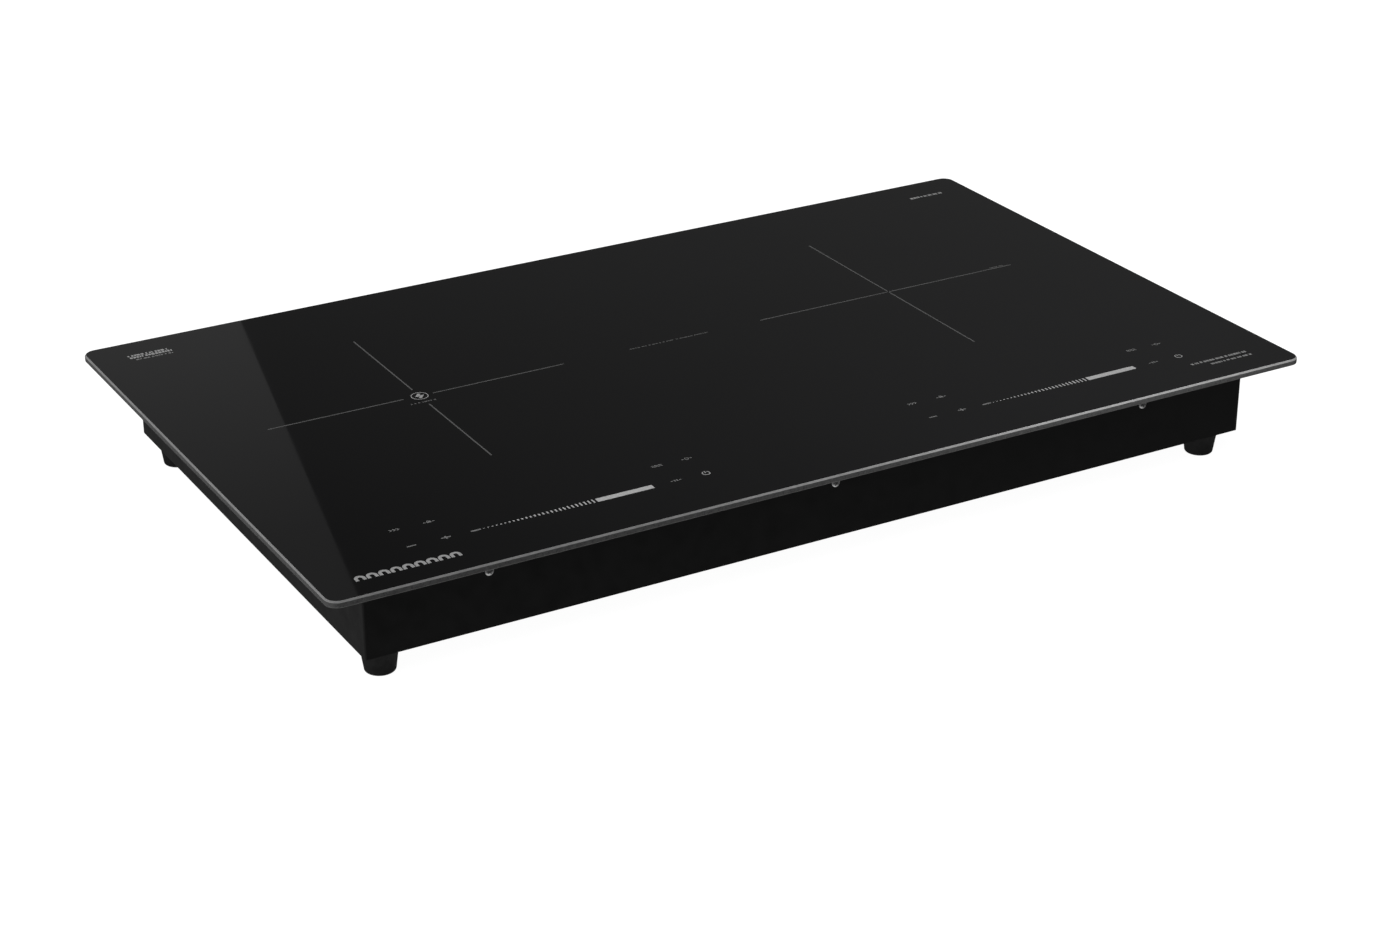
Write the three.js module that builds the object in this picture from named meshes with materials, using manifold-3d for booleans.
// Two-zone induction cooktop with a black glass top, for a worktop cut-out or free-standing on its feet.
// Millimetres, +Z up. The origin is the centre of the plane that the feet stand on, +X is to the user's right
// and +Y is away from the user. Pieces that touch keep a gap of CLEARANCE.
import * as THREE from "three";
import { mergeVertices } from "three/addons/utils/BufferGeometryUtils.js";
import Module from "manifold-3d";

const wasm = await Module();
wasm.setup();

// ---------------------------------------------------------------- driving dimensions
const CLEARANCE = 0.3;
const HEIGHT = 79;

const GLASS = { width: 740, depth: 440, thickness: 4.5, corner: 9, bevelWidth: 1, bevelHeight: 1.2 };
const GLASS_BOTTOM = HEIGHT - GLASS.thickness;

const FOOT = {
  height: 20, topRadius: 12.8, baseRadius: 10.2, edge: 1.6, sideInset: 17.5, endInset: 19.5,
  neckRadius: 4, headRadius: 6.5, headHeight: 4, holeRadius: 4.4,
};
const TRAY = { width: 677, depth: 388, sheet: 1, corner: 1.5, floor: FOOT.height };
const TRAY_RIM = GLASS_BOTTOM - CLEARANCE;
const TRAY_FLOOR_TOP = TRAY.floor + TRAY.sheet;

const FRAME = { sheet: 1.2, flange: 11, skirtBottom: 50 };
const SCREW = {
  z: 60, middleX: -2, spacing: 252, headRadius: 3.2, headHeight: 2.2, shankRadius: 1.6, length: 8,
  holeRadius: 2.1,
};

const ZONES = { left: { x: -195.5, y: 30 }, right: { x: 187, y: 30 } };
const FAN = {
  size: 92, height: 25, y: -130, corner: 5, ductRadius: 43, hubRadius: 17, hubHeight: 5, strut: 5,
  blades: 7, sweepRadius: 41.5, bladeChord: 19, bladePitch: 38, bladeThickness: 1.4, shaftRadius: 1.5,
};
const BOARD = { width: 200, depth: 190, thickness: 1.6, z: 27, y: 35, holeInset: 7, holeRadius: 1.8 };
const STAND_OFF_RADIUS = 3.5;
const SHIELD = {
  width: 230, depth: 210, sheet: 1, z: 50, legWidth: 16, legReach: 80, tab: 9, sensorHole: 14, pegHeight: 4,
};

const COIL = { inner: 22, outer: 94, thickness: 4.5, top: 73.2 };
const MICA = { inner: 10, outer: 97, bottom: COIL.top + CLEARANCE };
const CARRIER = {
  inner: 9, outer: 98, bottom: 62, rim: 2, hub: 3,
  plateBottom: 66.4, plateTop: COIL.top - COIL.thickness - CLEARANCE,
};
const FERRITE = { bars: 6, from: 26, to: 91, width: 12, thickness: 4, hubOuter: 32 };
const SPRING = {
  count: 3, atRadius: 78, coilRadius: 5.5, wireRadius: 0.6, turns: 4, stepsPerTurn: 8, sides: 4,
};
const PEG_RADIUS = 3;
const COIL_LEAD = { x: -75, y: 44, radius: 2.2, slack: 5, holeRadius: 10 };

const TOUCH = {
  firstKeyX: { left: -296.2, right: 88 }, keySpan: 208, keyRadius: 3.5, y: -162, width: 236, depth: 44, z: 65,
};
const HOLDER = { wall: 1.5, rim: 71.5, below: 3.5, margin: 2, leg: 8, rib: 3 };
const KEY_ROWS = [-149.5, -175];
const KEY_COLUMNS = [0, 23.7, 185.8, 208];
const SLIDER = { from: 49, length: 120, width: 6 };

const EXHAUST = { slots: 11, pitch: 11, width: 5, bottom: 29, height: 26 };
const INTAKE = { radius: 42, slots: 9, pitch: 9, width: 5 };
const GLAND = { x: 290, z: 36, holeRadius: 9, bore: 4.5, outward: 18, nutRadius: 13, nutThickness: 5 };

// ---------------------------------------------------------------- geometry helpers
const SIDES = { large: 32, medium: 24, round: 16, small: 12, key: 8 };
const CUT_THROUGH = 5; // how far a cutter reaches beyond the face that it opens

/** A three.js geometry as a manifold-3d solid. */
function solid(geometry) {
  const source = geometry.index ? geometry.toNonIndexed() : geometry;
  const bare = new THREE.BufferGeometry().setAttribute("position", source.getAttribute("position"));
  const merged = mergeVertices(bare, 1e-3);
  const mesh = new wasm.Mesh({
    numProp: 3,
    vertProperties: merged.attributes.position.array,
    triVerts: new Uint32Array(merged.index.array),
  });
  return new wasm.Manifold(mesh);
}

/** A manifold-3d solid as a three.js geometry. */
function geometryOf(body) {
  const mesh = body.getMesh();
  const geometry = new THREE.BufferGeometry();
  geometry.setAttribute("position", new THREE.BufferAttribute(mesh.vertProperties, 3));
  geometry.setIndex(new THREE.BufferAttribute(mesh.triVerts, 1));
  geometry.computeVertexNormals();
  return geometry;
}

const CORNERS = [[-1, -1], [1, -1], [1, 1], [-1, 1]];
const joined = (bodies) => bodies.reduce((whole, body) => whole.add(body));
const cutBy = (body, cutters) => cutters.reduce((rest, cutter) => rest.subtract(cutter), body);

/** A box centred on x and y, standing on z. */
function block(width, depth, height, x = 0, y = 0, z = 0) {
  return solid(new THREE.BoxGeometry(width, depth, height).translate(x, y, z + height / 2));
}

/** An upright cylinder standing on z. */
function drum(radius, height, x = 0, y = 0, z = 0, sides = SIDES.small) {
  const geometry = new THREE.CylinderGeometry(radius, radius, height, sides);
  return solid(geometry.rotateX(Math.PI / 2).translate(x, y, z + height / 2));
}

/** A cylinder along Y, centred on the point. */
function crossDrum(radius, length, x, y, z, sides = SIDES.small) {
  return solid(new THREE.CylinderGeometry(radius, radius, length, sides).translate(x, y, z));
}

/** A turned body around Z from [radius, height] pairs that run up the outside. */
function turned(profile, sides = SIDES.medium) {
  const points = profile.map(([r, z]) => new THREE.Vector2(r, z));
  return new THREE.LatheGeometry(points, sides).rotateX(Math.PI / 2);
}

/** The corner points of a rounded rectangle, anticlockwise. */
function roundedOutline(width, depth, corner, steps) {
  const points = [];
  for (let quarter = 0; quarter < 4; quarter++) {
    const sideX = quarter === 0 || quarter === 3 ? 1 : -1;
    const sideY = quarter < 2 ? 1 : -1;
    for (let i = 0; i <= steps; i++) {
      const angle = ((quarter + i / steps) * Math.PI) / 2;
      const x = sideX * (width / 2 - corner) + corner * Math.cos(angle);
      const y = sideY * (depth / 2 - corner) + corner * Math.sin(angle);
      points.push(new THREE.Vector2(x, y));
    }
  }
  return points;
}

/** An upright prism with a rounded rectangular section. */
function roundedBlock(width, depth, height, corner, z, steps = 3) {
  const shape = new THREE.Shape(roundedOutline(width, depth, corner, steps));
  return solid(new THREE.ExtrudeGeometry(shape, { depth: height, bevelEnabled: false }).translate(0, 0, z));
}

/** A convex body through rounded rectangles [width, depth, corner, z], from the first to the last. */
function lofted(sections, steps) {
  const rings = sections.map(([w, d, c, z]) => roundedOutline(w, d, c, steps).map((p) => [p.x, p.y, z]));
  const count = rings[0].length;
  const positions = [];
  const triangle = (...corners) => corners.forEach((corner) => positions.push(...corner));
  for (let level = 0; level + 1 < rings.length; level++) {
    for (let i = 0; i < count; i++) {
      const next = (i + 1) % count;
      triangle(rings[level][i], rings[level][next], rings[level + 1][next]);
      triangle(rings[level][i], rings[level + 1][next], rings[level + 1][i]);
    }
  }
  const first = rings[0];
  const last = rings[rings.length - 1];
  for (let i = 1; i + 1 < count; i++) {
    triangle(first[0], first[i + 1], first[i]);
    triangle(last[0], last[i], last[i + 1]);
  }
  const geometry = new THREE.BufferGeometry();
  return geometry.setAttribute("position", new THREE.Float32BufferAttribute(positions, 3));
}

class Helix extends THREE.Curve {
  constructor(radius, height, turns) {
    super();
    Object.assign(this, { radius, height, turns });
  }
  getPoint(t) {
    const angle = t * this.turns * 2 * Math.PI;
    return new THREE.Vector3(this.radius * Math.cos(angle), this.radius * Math.sin(angle), t * this.height);
  }
}

/** A curve through points that neither loops nor overshoots between them. */
function smoothCurve(points) {
  return new THREE.CatmullRomCurve3(points.map((p) => new THREE.Vector3(...p)), false, "centripetal");
}

/** A round bar along a curve. */
function tube(curve, radius, steps, sides) {
  const outline = [];
  for (let i = 0; i < sides; i++) {
    const angle = (i / sides) * 2 * Math.PI;
    outline.push(new THREE.Vector2(radius * Math.cos(angle), radius * Math.sin(angle)));
  }
  const along = { steps, extrudePath: curve, bevelEnabled: false };
  return new THREE.ExtrudeGeometry(new THREE.Shape(outline), along);
}

// ---------------------------------------------------------------- materials
function material(color, roughness, metalness = 0) {
  return new THREE.MeshStandardMaterial({ color, roughness, metalness });
}

const MATERIALS = {
  glass: material(0x101011, 0.08),
  paint: material(0x151515, 0.5, 0.2),
  galvanised: material(0xa9adb0, 0.4, 0.9),
  steel: material(0xb8babc, 0.3, 1),
  rubber: material(0x181818, 0.8),
  aluminium: material(0xc9ccd0, 0.35, 0.9),
  copper: material(0xb5652f, 0.4, 0.8),
  ferrite: material(0x2d2d30, 0.6),
  mica: material(0xbfae8c, 0.5),
  silicone: material(0xe6e4df, 0.6),
  darkPlastic: material(0x1b1c1e, 0.55),
  palePlastic: material(0xd8d5cc, 0.55),
  circuitBoard: material(0x1f4d33, 0.5),
  component: material(0x26282b, 0.45),
  lead: material(0x8c3a2a, 0.5),
};

function piece(name, shape, look, x = 0, y = 0, z = 0) {
  const geometry = shape.isBufferGeometry ? shape : geometryOf(shape);
  const mesh = new THREE.Mesh(geometry, look);
  mesh.name = name;
  mesh.position.set(x, y, z);
  return mesh;
}

const cooktop = new THREE.Group();

// ---------------------------------------------------------------- casing
/** The glass plate with its top edge ground to a bevel; the overhang's underside is a ring of its own. */
function glassTop() {
  const { width, depth, thickness, corner, bevelWidth, bevelHeight } = GLASS;
  const overhangEdge = 2;
  const sections = [
    [TRAY.width + overhangEdge, TRAY.depth + overhangEdge, TRAY.corner, 0],
    [width, depth, corner, 0],
    [width, depth, corner, thickness - bevelHeight],
    [width - 2 * bevelWidth, depth - 2 * bevelWidth, corner - bevelWidth, thickness],
  ];
  return lofted(sections, 6);
}

/** The screws that go through the casing wall: where each head sits, and its turn about Z from facing -Y. */
function screwPlaces() {
  const front = -TRAY.depth / 2;
  const places = [];
  [-1, 0, 1].forEach((step, i) => {
    const x = SCREW.middleX + step * SCREW.spacing;
    places.push({ name: `case_screw_front_${i + 1}`, x, y: front, turn: 0 });
    places.push({ name: `case_screw_rear_${i + 1}`, x, y: -front, turn: Math.PI });
  });
  return places;
}

/** Cutters for the screw holes in a wall. */
function screwHoles(radius) {
  return screwPlaces().map(({ x, y }) => crossDrum(radius, 2 * CUT_THROUGH, x, y, SCREW.z));
}

/** The folded steel tray: floor, walls, stand-offs for the boards, and every opening in it. */
function bottomTray() {
  const { width, depth, sheet, corner, floor } = TRAY;
  const shell = roundedBlock(width, depth, TRAY_RIM - floor, corner, floor);
  const cavityHeight = TRAY_RIM - TRAY_FLOOR_TOP + CUT_THROUGH;
  const inside = roundedBlock(
    width - 2 * sheet, depth - 2 * sheet, cavityHeight, corner - sheet, TRAY_FLOOR_TOP,
  );
  const standOffs = [];
  const cutters = screwHoles(SCREW.holeRadius);
  for (const { x, y } of footPlaces()) {
    cutters.push(drum(FOOT.holeRadius, 2 * CUT_THROUGH, x, y, floor - CUT_THROUGH));
  }
  for (const zone of Object.values(ZONES)) {
    for (const [x, y] of boardHoles()) {
      standOffs.push(drum(STAND_OFF_RADIUS, BOARD.z - CLEARANCE - floor, zone.x + x, BOARD.y + y, floor));
    }
    cutters.push(...exhaustSlots(zone.x), ...intakeSlots(zone.x));
  }
  cutters.push(crossDrum(GLAND.holeRadius, 2 * CUT_THROUGH, GLAND.x, depth / 2, GLAND.z, SIDES.medium));
  return cutBy(joined([shell.subtract(inside), ...standOffs]), cutters);
}

function exhaustSlots(centreX) {
  const { slots, pitch, width, bottom, height } = EXHAUST;
  return Array.from({ length: slots }, (_, i) => {
    const x = centreX + (i - (slots - 1) / 2) * pitch;
    return block(width, 2 * CUT_THROUGH, height, x, TRAY.depth / 2, bottom);
  });
}

/** Parallel slots that fill a circle under a fan. */
function intakeSlots(centreX) {
  const { radius, slots, pitch, width } = INTAKE;
  return Array.from({ length: slots }, (_, i) => {
    const offset = (i - (slots - 1) / 2) * pitch;
    const length = 2 * Math.sqrt(radius * radius - offset * offset);
    return block(width, length, 2 * CUT_THROUGH, centreX + offset, FAN.y, TRAY.floor - CUT_THROUGH);
  });
}

/** The steel frame bonded under the glass: a flange, and a skirt inside the tray's walls. */
function supportFrame() {
  const { sheet, flange, skirtBottom } = FRAME;
  const outerWidth = TRAY.width - 2 * (TRAY.sheet + CLEARANCE);
  const outerDepth = TRAY.depth - 2 * (TRAY.sheet + CLEARANCE);
  const height = GLASS_BOTTOM - CLEARANCE - skirtBottom;
  const corner = 2;
  const outside = roundedBlock(outerWidth, outerDepth, height, corner, skirtBottom);
  const cavity = block(outerWidth - 2 * sheet, outerDepth - 2 * sheet, height, 0, 0, skirtBottom - sheet);
  const window = block(outerWidth - 2 * flange, outerDepth - 2 * flange, height, 0, 0, skirtBottom + sheet);
  return cutBy(outside, [cavity, window, ...screwHoles(SCREW.shankRadius + CLEARANCE)]);
}

function footPlaces() {
  const x = TRAY.width / 2 - FOOT.sideInset;
  const y = TRAY.depth / 2 - FOOT.endInset;
  return [
    { name: "foot_front_left", x: -x, y: -y },
    { name: "foot_front_right", x, y: -y },
    { name: "foot_rear_left", x: -x, y },
    { name: "foot_rear_right", x, y },
  ];
}

/** A rubber foot that pushes through a hole in the tray's floor and holds behind it. */
function foot() {
  const { height, topRadius, baseRadius, edge, neckRadius, headRadius, headHeight } = FOOT;
  const seat = height - CLEARANCE;
  const overFloor = TRAY_FLOOR_TOP + CLEARANCE;
  const profile = [
    [0, 0],
    [baseRadius - edge, 0],
    [baseRadius - edge * 0.3, edge * 0.3],
    [baseRadius, edge],
    [topRadius, seat],
    [neckRadius, seat],
    [neckRadius, overFloor],
    [headRadius, overFloor],
    [neckRadius, overFloor + headHeight],
    [0, overFloor + headHeight],
  ];
  return turned(profile, SIDES.round);
}

/** A pan-head screw along -Y, with its head standing off the wall at y = 0. */
function caseScrew() {
  const { headRadius, headHeight, shankRadius, length } = SCREW;
  const profile = [
    [0, -length],
    [shankRadius, -length],
    [shankRadius, CLEARANCE],
    [headRadius, CLEARANCE],
    [headRadius, CLEARANCE + headHeight * 0.45],
    [headRadius * 0.72, CLEARANCE + headHeight * 0.9],
    [0, CLEARANCE + headHeight],
  ];
  return turned(profile, SIDES.small).rotateX(Math.PI / 2);
}

/** The cable gland's body in the rear wall, bored for a mains cord. */
function cableGland() {
  const { bore, holeRadius, nutRadius, outward } = GLAND;
  const inward = -9;
  const flange = 6;
  const threadRadius = holeRadius - 0.4;
  const profile = [
    [bore, inward],
    [threadRadius, inward],
    [threadRadius, CLEARANCE],
    [nutRadius, CLEARANCE],
    [nutRadius, flange],
    [nutRadius - 2.5, flange + 1],
    [nutRadius - 3.5, outward - 3],
    [bore + 2, outward],
    [bore, outward],
    [bore, inward],
  ];
  return turned(profile, SIDES.round).rotateX(-Math.PI / 2);
}

/** The hexagonal nut that holds the gland from inside the wall. */
function glandNut() {
  const { nutRadius, nutThickness, holeRadius } = GLAND;
  const hexagon = solid(new THREE.CylinderGeometry(nutRadius, nutRadius, nutThickness, 6));
  return hexagon.subtract(crossDrum(holeRadius, 2 * nutThickness, 0, 0, 0, SIDES.round));
}

cooktop.add(piece("glass_top", glassTop(), MATERIALS.glass, 0, 0, GLASS_BOTTOM));
cooktop.add(piece("bottom_tray", bottomTray(), MATERIALS.paint));
cooktop.add(piece("support_frame", supportFrame(), MATERIALS.galvanised));
for (const { name, x, y } of footPlaces()) {
  cooktop.add(piece(name, foot(), MATERIALS.rubber, x, y));
}
for (const { name, x, y, turn } of screwPlaces()) {
  const screw = piece(name, caseScrew(), MATERIALS.steel, x, y, SCREW.z);
  screw.rotation.z = turn;
  cooktop.add(screw);
}
const rearWall = TRAY.depth / 2;
const nutCentre = rearWall - TRAY.sheet - CLEARANCE - GLAND.nutThickness / 2;
cooktop.add(piece("cable_gland", cableGland(), MATERIALS.darkPlastic, GLAND.x, rearWall, GLAND.z));
cooktop.add(piece("gland_nut", glandNut(), MATERIALS.darkPlastic, GLAND.x, nutCentre, GLAND.z));

// ---------------------------------------------------------------- induction coils
const springPlaces = Array.from({ length: SPRING.count }, (_, i) => {
  const angle = Math.PI / 2 + (i * 2 * Math.PI) / SPRING.count;
  return [SPRING.atRadius * Math.cos(angle), SPRING.atRadius * Math.sin(angle)];
});

/** The aluminium plate on four legs that shields the electronics and carries the coil's springs. */
function coilShield() {
  const { width, depth, sheet, z, legWidth, legReach, tab, sensorHole, pegHeight } = SHIELD;
  const legBottom = TRAY_FLOOR_TOP + CLEARANCE;
  const legHeight = z - legBottom + sheet / 2;
  const bodies = [block(width, depth, sheet, 0, 0, z)];
  for (const sideX of [-1, 1]) {
    const legX = (sideX * (width - sheet)) / 2;
    const tabX = (sideX * (width - 2 * sheet + tab)) / 2;
    for (const y of [-legReach, legReach]) {
      bodies.push(block(sheet, legWidth, legHeight, legX, y, legBottom));
      bodies.push(block(tab, legWidth, sheet, tabX, y, legBottom));
    }
  }
  for (const [x, y] of springPlaces) {
    bodies.push(drum(PEG_RADIUS, pegHeight, x, y, z + sheet / 2));
  }
  const hole = (radius, x, y) => drum(radius, 2 * CUT_THROUGH, x, y, z - CUT_THROUGH, SIDES.medium);
  return cutBy(joined(bodies), [hole(sensorHole, 0, 0), hole(COIL_LEAD.holeRadius, COIL_LEAD.x, COIL_LEAD.y)]);
}

/** The moulded disc that holds the coil and its ferrite bars, with a hub for the sensor. */
function coilCarrier() {
  const { inner, outer, bottom, plateBottom, plateTop, rim, hub } = CARRIER;
  const rimTop = COIL.top - 1;
  const profile = [
    [inner, bottom],
    [inner + hub, bottom],
    [inner + hub, plateBottom],
    [outer - rim, plateBottom],
    [outer - rim, bottom + 2],
    [outer, bottom + 2],
    [outer, rimTop],
    [outer - rim, rimTop],
    [outer - rim, plateTop],
    [inner + hub, plateTop],
    [inner + hub, rimTop],
    [inner, rimTop],
    [inner, bottom],
  ];
  const pegDrop = 5.5;
  const pegs = springPlaces.map(([x, y]) => drum(PEG_RADIUS, pegDrop + 0.5, x, y, plateBottom - pegDrop));
  return joined([solid(turned(profile, SIDES.large)), ...pegs]);
}

/** The flat coil of litz wire, as the ring that its turns fill. */
function coilWinding() {
  const { inner, outer, thickness, top } = COIL;
  const edge = 1.2;
  const profile = [
    [inner, top - thickness],
    [outer, top - thickness],
    [outer, top - edge],
    [outer - edge, top],
    [inner + edge, top],
    [inner, top - edge],
    [inner, top - thickness],
  ];
  return turned(profile, SIDES.large);
}

/** The ferrite bars under the carrier, radiating from a ring. */
function ferriteBars() {
  const { bars, from, to, width, thickness, hubOuter } = FERRITE;
  const z = CARRIER.plateBottom - CLEARANCE - thickness;
  const middle = drum(from, thickness + 2 * CUT_THROUGH, 0, 0, z - CUT_THROUGH, SIDES.medium);
  const ring = drum(hubOuter, thickness, 0, 0, z, SIDES.medium).subtract(middle);
  const barStart = (from + hubOuter) / 2;
  const bodies = [ring];
  for (let i = 0; i < bars; i++) {
    const bar = new THREE.BoxGeometry(to - barStart, width, thickness);
    bar.translate((barStart + to) / 2, 0, z + thickness / 2);
    bodies.push(solid(bar.rotateZ((i * 2 * Math.PI) / bars)));
  }
  return joined(bodies);
}

function micaDisc() {
  const { inner, outer, bottom } = MICA;
  const top = GLASS_BOTTOM - CLEARANCE;
  const profile = [
    [inner, bottom],
    [outer, bottom],
    [outer, top],
    [inner, top],
    [inner, bottom],
  ];
  return turned(profile, SIDES.large);
}

/** The temperature sensor's silicone cap, which looks at the glass through the coil's centre. */
function heatSensor() {
  const radius = CARRIER.inner - 1.5;
  const flangeRadius = CARRIER.inner + CARRIER.rim;
  const flangeTop = CARRIER.bottom - CLEARANCE;
  const flangeBottom = flangeTop - 2.2;
  const top = GLASS_BOTTOM - CLEARANCE;
  const dome = { drop: 4, inset: 2 };
  const profile = [
    [0, flangeBottom],
    [flangeRadius, flangeBottom],
    [flangeRadius, flangeTop],
    [radius, flangeTop],
    [radius, top - dome.drop],
    [radius - dome.inset, top],
    [0, top],
  ];
  return turned(profile, SIDES.round);
}

function coilSpring() {
  const bottom = SHIELD.z + SHIELD.sheet + CLEARANCE + SPRING.wireRadius;
  const top = CARRIER.plateBottom - CLEARANCE - SPRING.wireRadius;
  const helix = new Helix(SPRING.coilRadius, top - bottom, SPRING.turns);
  const steps = SPRING.turns * SPRING.stepsPerTurn;
  return tube(helix, SPRING.wireRadius, steps, SPRING.sides).translate(0, 0, bottom);
}

/** The sleeved pair of wires that drops, a little slack, from the coil through the shield to the board. */
function coilLead() {
  const { x, y, radius, slack } = COIL_LEAD;
  const top = CARRIER.plateBottom - CLEARANCE;
  const bottom = BOARD.z + BOARD.thickness + CLEARANCE;
  const straight = 5;
  const route = [
    [x, y, top],
    [x, y, top - straight],
    [x - slack, y + slack / 2, (top + bottom) / 2],
    [x, y, bottom + straight],
    [x, y, bottom],
  ];
  return tube(smoothCurve(route), radius, 14, SIDES.key);
}

function coilGroup(side, zone) {
  const group = new THREE.Group();
  group.position.set(zone.x, zone.y, 0);
  group.add(piece(`coil_shield_${side}`, coilShield(), MATERIALS.aluminium));
  group.add(piece(`coil_carrier_${side}`, coilCarrier(), MATERIALS.palePlastic));
  group.add(piece(`coil_winding_${side}`, coilWinding(), MATERIALS.copper));
  group.add(piece(`ferrite_bars_${side}`, ferriteBars(), MATERIALS.ferrite));
  group.add(piece(`mica_disc_${side}`, micaDisc(), MATERIALS.mica));
  group.add(piece(`heat_sensor_${side}`, heatSensor(), MATERIALS.silicone));
  group.add(piece(`coil_lead_${side}`, coilLead(), MATERIALS.silicone));
  springPlaces.forEach(([x, y], i) => {
    group.add(piece(`coil_spring_${side}_${i + 1}`, coilSpring(), MATERIALS.steel, x, y));
  });
  return group;
}

// ---------------------------------------------------------------- cooling fans
/** The square frame of a fan: duct, corner holes, and the hub that holds the bearing on four struts. */
function fanHousing() {
  const { size, height, corner, ductRadius, hubRadius, hubHeight, strut, shaftRadius } = FAN;
  const holeAt = size / 2 - 5.5;
  const holeRadius = 2.2;
  const cutter = (radius, x, y, sides) => drum(radius, height + 2 * CUT_THROUGH, x, y, -CUT_THROUGH, sides);
  const frame = roundedBlock(size, size, height, corner, 0).subtract(cutter(ductRadius, 0, 0, SIDES.large));
  const strutLength = 2 * ductRadius + 2;
  const strutHeight = 3;
  const spokes = joined([
    block(strutLength, strut, strutHeight, 0, 0, height - strutHeight),
    block(strut, strutLength, strutHeight, 0, 0, height - strutHeight),
    drum(hubRadius, hubHeight, 0, 0, height - hubHeight, SIDES.medium),
  ]);
  const holes = CORNERS.map(([x, y]) => cutter(holeRadius, x * holeAt, y * holeAt, SIDES.small));
  return cutBy(frame.add(spokes), [...holes, cutter(shaftRadius + CLEARANCE, 0, 0, SIDES.small)]);
}

/** The fan's rotor: a cup with pitched blades, closed towards the intake. */
function fanImpeller() {
  const { height, hubRadius, hubHeight, shaftRadius } = FAN;
  const { blades, sweepRadius, bladeChord, bladePitch, bladeThickness } = FAN;
  const bottom = 2;
  const top = height - hubHeight - 1.5;
  const wall = 2;
  const cup = [
    [shaftRadius + CLEARANCE, bottom],
    [hubRadius - 1.5, bottom],
    [hubRadius, bottom + 1.5],
    [hubRadius, top],
    [hubRadius - wall, top],
    [hubRadius - wall, bottom + wall],
    [shaftRadius + CLEARANCE, bottom + wall],
    [shaftRadius + CLEARANCE, bottom],
  ];
  const bodies = [solid(turned(cup, SIDES.medium))];
  const reach = sweepRadius - hubRadius + 1;
  const pitchAngle = THREE.MathUtils.degToRad(bladePitch);
  for (let i = 0; i < blades; i++) {
    const blade = new THREE.BoxGeometry(reach, bladeChord, bladeThickness).rotateX(pitchAngle);
    blade.translate(sweepRadius - reach / 2, 0, (bottom + top) / 2);
    bodies.push(solid(blade.rotateZ((i * 2 * Math.PI) / blades)));
  }
  return joined(bodies);
}

function fanShaft() {
  return drum(FAN.shaftRadius, FAN.height - 4, 0, 0, 2.2);
}

function fanGroup(side, zone) {
  const group = new THREE.Group();
  group.position.set(zone.x, FAN.y, TRAY_FLOOR_TOP + CLEARANCE);
  group.add(piece(`fan_housing_${side}`, fanHousing(), MATERIALS.darkPlastic));
  group.add(piece(`fan_impeller_${side}`, fanImpeller(), MATERIALS.darkPlastic));
  group.add(piece(`fan_shaft_${side}`, fanShaft(), MATERIALS.steel));
  return group;
}

// ---------------------------------------------------------------- power electronics
/** The board's four fixing holes, from its centre. */
function boardHoles() {
  const x = BOARD.width / 2 - BOARD.holeInset;
  const y = BOARD.depth / 2 - BOARD.holeInset;
  return CORNERS.map(([sideX, sideY]) => [sideX * x, sideY * y]);
}

function powerBoard() {
  const holes = boardHoles().map(([x, y]) => drum(BOARD.holeRadius, 2 * CUT_THROUGH, x, y, -CUT_THROUGH));
  return cutBy(block(BOARD.width, BOARD.depth, BOARD.thickness), holes);
}

const HEATSINK = { width: 62, length: 120, height: 19, base: 5, fins: 9, fin: 1.8, x: -32, y: -32 };
const TRANSISTOR = { width: 16, thickness: 5, height: 19, leads: 3, leadPitch: 5.4, y: -60 };
const RECTIFIER = { width: 30, thickness: 4.6, height: 19, leads: 4, leadPitch: 7.5, y: -12 };
const CHOKE = { ringRadius: 13, tubeRadius: 6, x: 50, y: -62 };
const CAPACITOR = { width: 42, depth: 20, height: 17, step: 0.6, x: 55, y: 20 };

/** An extruded heatsink with its fins along Y. */
function heatsink() {
  const { width, length, height, base, fins, fin } = HEATSINK;
  const pitch = (width - fin) / (fins - 1);
  const outline = [new THREE.Vector2(-width / 2, 0), new THREE.Vector2(width / 2, 0)];
  for (let i = fins - 1; i >= 0; i--) {
    const left = -width / 2 + i * pitch;
    if (i < fins - 1) {
      outline.push(new THREE.Vector2(left + fin, base));
    }
    outline.push(new THREE.Vector2(left + fin, height), new THREE.Vector2(left, height));
    if (i > 0) {
      outline.push(new THREE.Vector2(left, base));
    }
  }
  const extruded = new THREE.ExtrudeGeometry(new THREE.Shape(outline), { depth: length, bevelEnabled: false });
  return extruded.rotateX(Math.PI / 2).translate(0, length / 2, 0);
}

/** A flat package standing on its leads, such as a transistor or a rectifier. */
function standingPackage({ width, thickness, height, leads, leadPitch }) {
  const lead = { length: 2.5, thickness: 0.8, width: 1.4, root: 1 };
  const bodies = [block(thickness, width, height - lead.length, 0, 0, lead.length)];
  for (let i = 0; i < leads; i++) {
    const y = (i - (leads - 1) / 2) * leadPitch;
    bodies.push(block(lead.thickness, lead.width, lead.length + lead.root, 0, y));
  }
  return joined(bodies);
}

/** A choke wound on a ring core that lies on the board. */
function filterChoke() {
  const { ringRadius, tubeRadius } = CHOKE;
  return new THREE.TorusGeometry(ringRadius, tubeRadius, 8, 18).translate(0, 0, tubeRadius);
}

/** A moulded film capacitor with a step along its foot. */
function filmCapacitor() {
  const { width, depth, height, step } = CAPACITOR;
  return block(width, depth, height).subtract(block(width - 8, depth + 2, 2 * step, 0, 0, -step));
}

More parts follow.
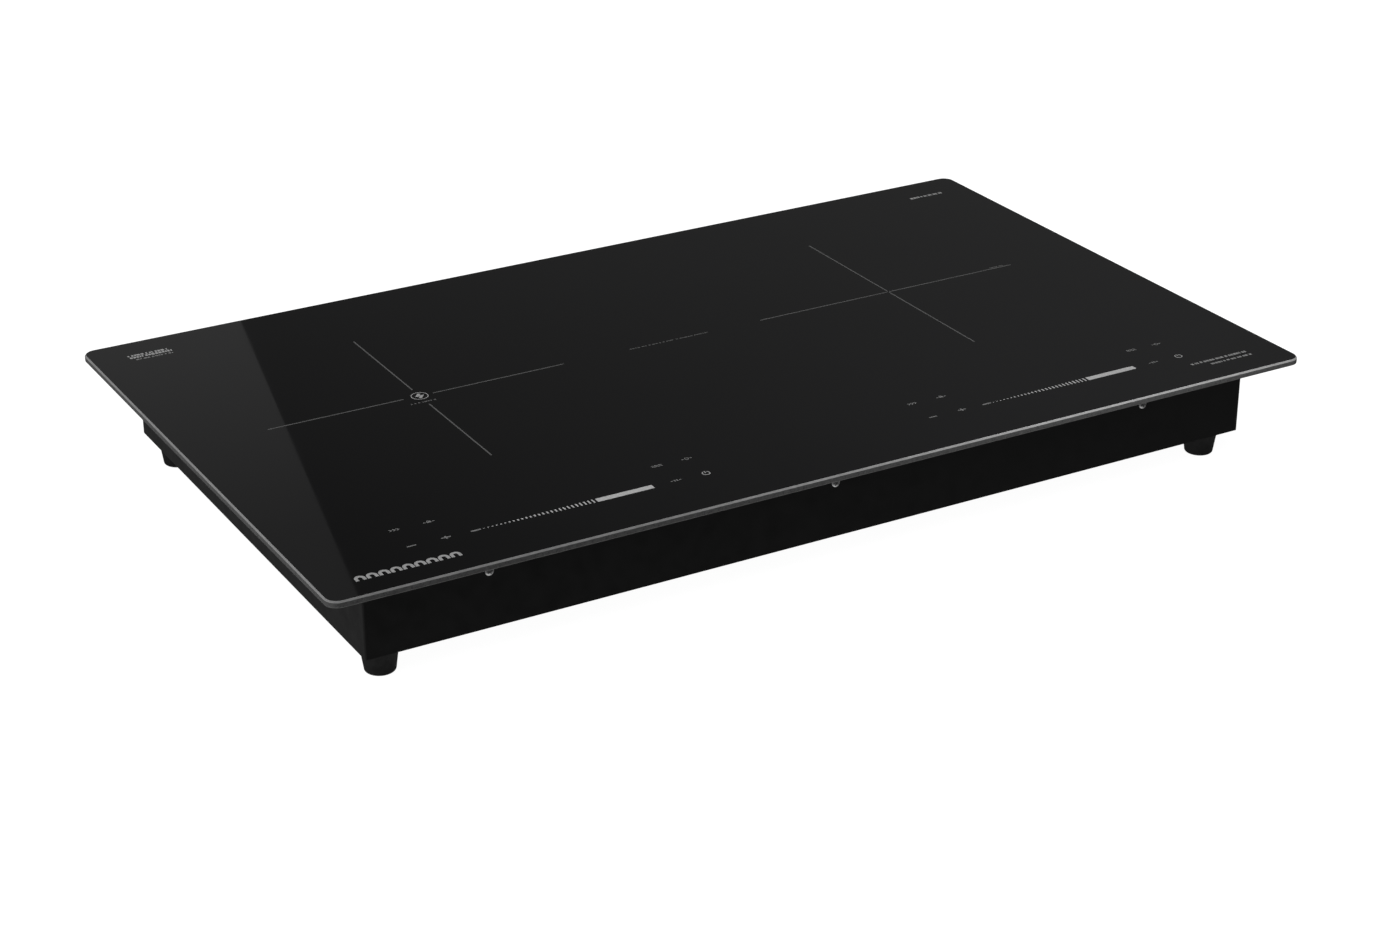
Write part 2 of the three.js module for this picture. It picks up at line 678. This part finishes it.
function electronicsGroup(side, zone) {
  const group = new THREE.Group();
  const top = BOARD.thickness + CLEARANCE;
  const sinkEdge = HEATSINK.x + HEATSINK.width / 2 + CLEARANCE;
  group.position.set(zone.x, BOARD.y, BOARD.z);
  group.add(piece(`power_board_${side}`, powerBoard(), MATERIALS.circuitBoard));
  group.add(piece(`heatsink_${side}`, heatsink(), MATERIALS.aluminium, HEATSINK.x, HEATSINK.y, top));
  for (const [name, size] of [["power_transistor", TRANSISTOR], ["bridge_rectifier", RECTIFIER]]) {
    const x = sinkEdge + size.thickness / 2;
    group.add(piece(`${name}_${side}`, standingPackage(size), MATERIALS.component, x, size.y, top));
  }
  group.add(piece(`filter_choke_${side}`, filterChoke(), MATERIALS.copper, CHOKE.x, CHOKE.y, top));
  const capacitor = piece(`film_capacitor_${side}`, filmCapacitor(), MATERIALS.component);
  capacitor.position.set(CAPACITOR.x, CAPACITOR.y, top);
  group.add(capacitor);
  return group;
}

// ---------------------------------------------------------------- mains wiring
const TERMINAL = {
  x: 290, y: 162, width: 40, depth: 22, height: 18, poles: 4, pitch: 9,
  pocket: { width: 6, depth: 6, height: 8, z: 4 },
};
const LEAD_RADIUS = 2.5;
const terminalSide = TERMINAL.x - TERMINAL.width / 2 - CLEARANCE;
const boardTop = BOARD.z + BOARD.thickness + CLEARANCE;
const LEADS = {
  left: { steps: 40, route: [
    [terminalSide, 166, 32], [262, 166, 32], [245, 167, 26], [150, 168, 24.5], [0, 168, 24.5], [-90, 166, 25],
    [-125, 150, 34], [-130, 126, 42], [-130, 116, 36], [-130, 116, boardTop],
  ] },
  right: { steps: 18, route: [
    [terminalSide, 158, 32], [262, 158, 32], [245, 150, 38],
    [236, 128, 42], [236, 116, 36], [236, 116, boardTop],
  ] },
};

/** The terminal block for the mains cord, with its row of wire pockets. */
function terminalBlock() {
  const { width, depth, height, poles, pitch, pocket } = TERMINAL;
  const body = block(width, depth, height);
  const pockets = Array.from({ length: poles }, (_, i) => {
    const x = (i - (poles - 1) / 2) * pitch;
    return block(pocket.width, pocket.depth, pocket.height, x, depth / 2 - 1, pocket.z);
  });
  return cutBy(body, pockets);
}

const overFloor = TRAY_FLOOR_TOP + CLEARANCE;
cooktop.add(piece("terminal_block", terminalBlock(), MATERIALS.palePlastic, TERMINAL.x, TERMINAL.y, overFloor));

// ---------------------------------------------------------------- touch controls
/** A touch board: the circuit board, a sprung contact under each key, and the slider's light bar. */
function touchBoard() {
  const { width, depth, z, keySpan, keyRadius, y } = TOUCH;
  const root = z + BOARD.thickness / 2;
  const reach = GLASS_BOTTOM - CLEARANCE - root;
  const bodies = [block(width, depth, BOARD.thickness, 0, 0, z)];
  for (const column of KEY_COLUMNS) {
    for (const row of KEY_ROWS) {
      bodies.push(drum(keyRadius, reach, column - keySpan / 2, row - y, root, SIDES.key));
    }
  }
  const barX = SLIDER.from + SLIDER.length / 2 - keySpan / 2;
  bodies.push(block(SLIDER.length, SLIDER.width, reach, barX, KEY_ROWS[1] - y, root));
  return joined(bodies);
}

/** The open moulding on four legs that holds a touch board up to the glass. */
function touchHolder() {
  const { width, depth, z } = TOUCH;
  const { wall, rim, below, margin, leg, rib } = HOLDER;
  const floor = z - below;
  const outerWidth = width + 2 * margin;
  const outerDepth = depth + 2 * margin;
  const outside = block(outerWidth, outerDepth, rim - floor, 0, 0, floor);
  const inside = block(outerWidth - 2 * wall, outerDepth - 2 * wall, rim, 0, 0, floor + wall);
  const ribs = [-0.3, 0.3].map((share) => {
    return block(rib, depth + margin, below - CLEARANCE, share * width, 0, floor);
  });
  const legBottom = TRAY_FLOOR_TOP + CLEARANCE;
  const legHeight = floor + wall / 2 - legBottom;
  const legs = CORNERS.map(([sideX, sideY]) => {
    return block(leg, leg, legHeight, (sideX * (width - leg)) / 2, (sideY * (depth - leg)) / 2, legBottom);
  });
  return joined([outside.subtract(inside), ...ribs, ...legs]);
}

// ---------------------------------------------------------------- assembly
for (const [side, zone] of Object.entries(ZONES)) {
  const touchX = TOUCH.firstKeyX[side] + TOUCH.keySpan / 2;
  cooktop.add(coilGroup(side, zone), fanGroup(side, zone), electronicsGroup(side, zone));
  cooktop.add(piece(`touch_board_${side}`, touchBoard(), MATERIALS.circuitBoard, touchX, TOUCH.y));
  cooktop.add(piece(`touch_holder_${side}`, touchHolder(), MATERIALS.darkPlastic, touchX, TOUCH.y));
  const { route, steps } = LEADS[side];
  const lead = tube(smoothCurve(route), LEAD_RADIUS, steps, SIDES.key);
  cooktop.add(piece(`mains_lead_${side}`, lead, MATERIALS.lead));
}

export default cooktop;
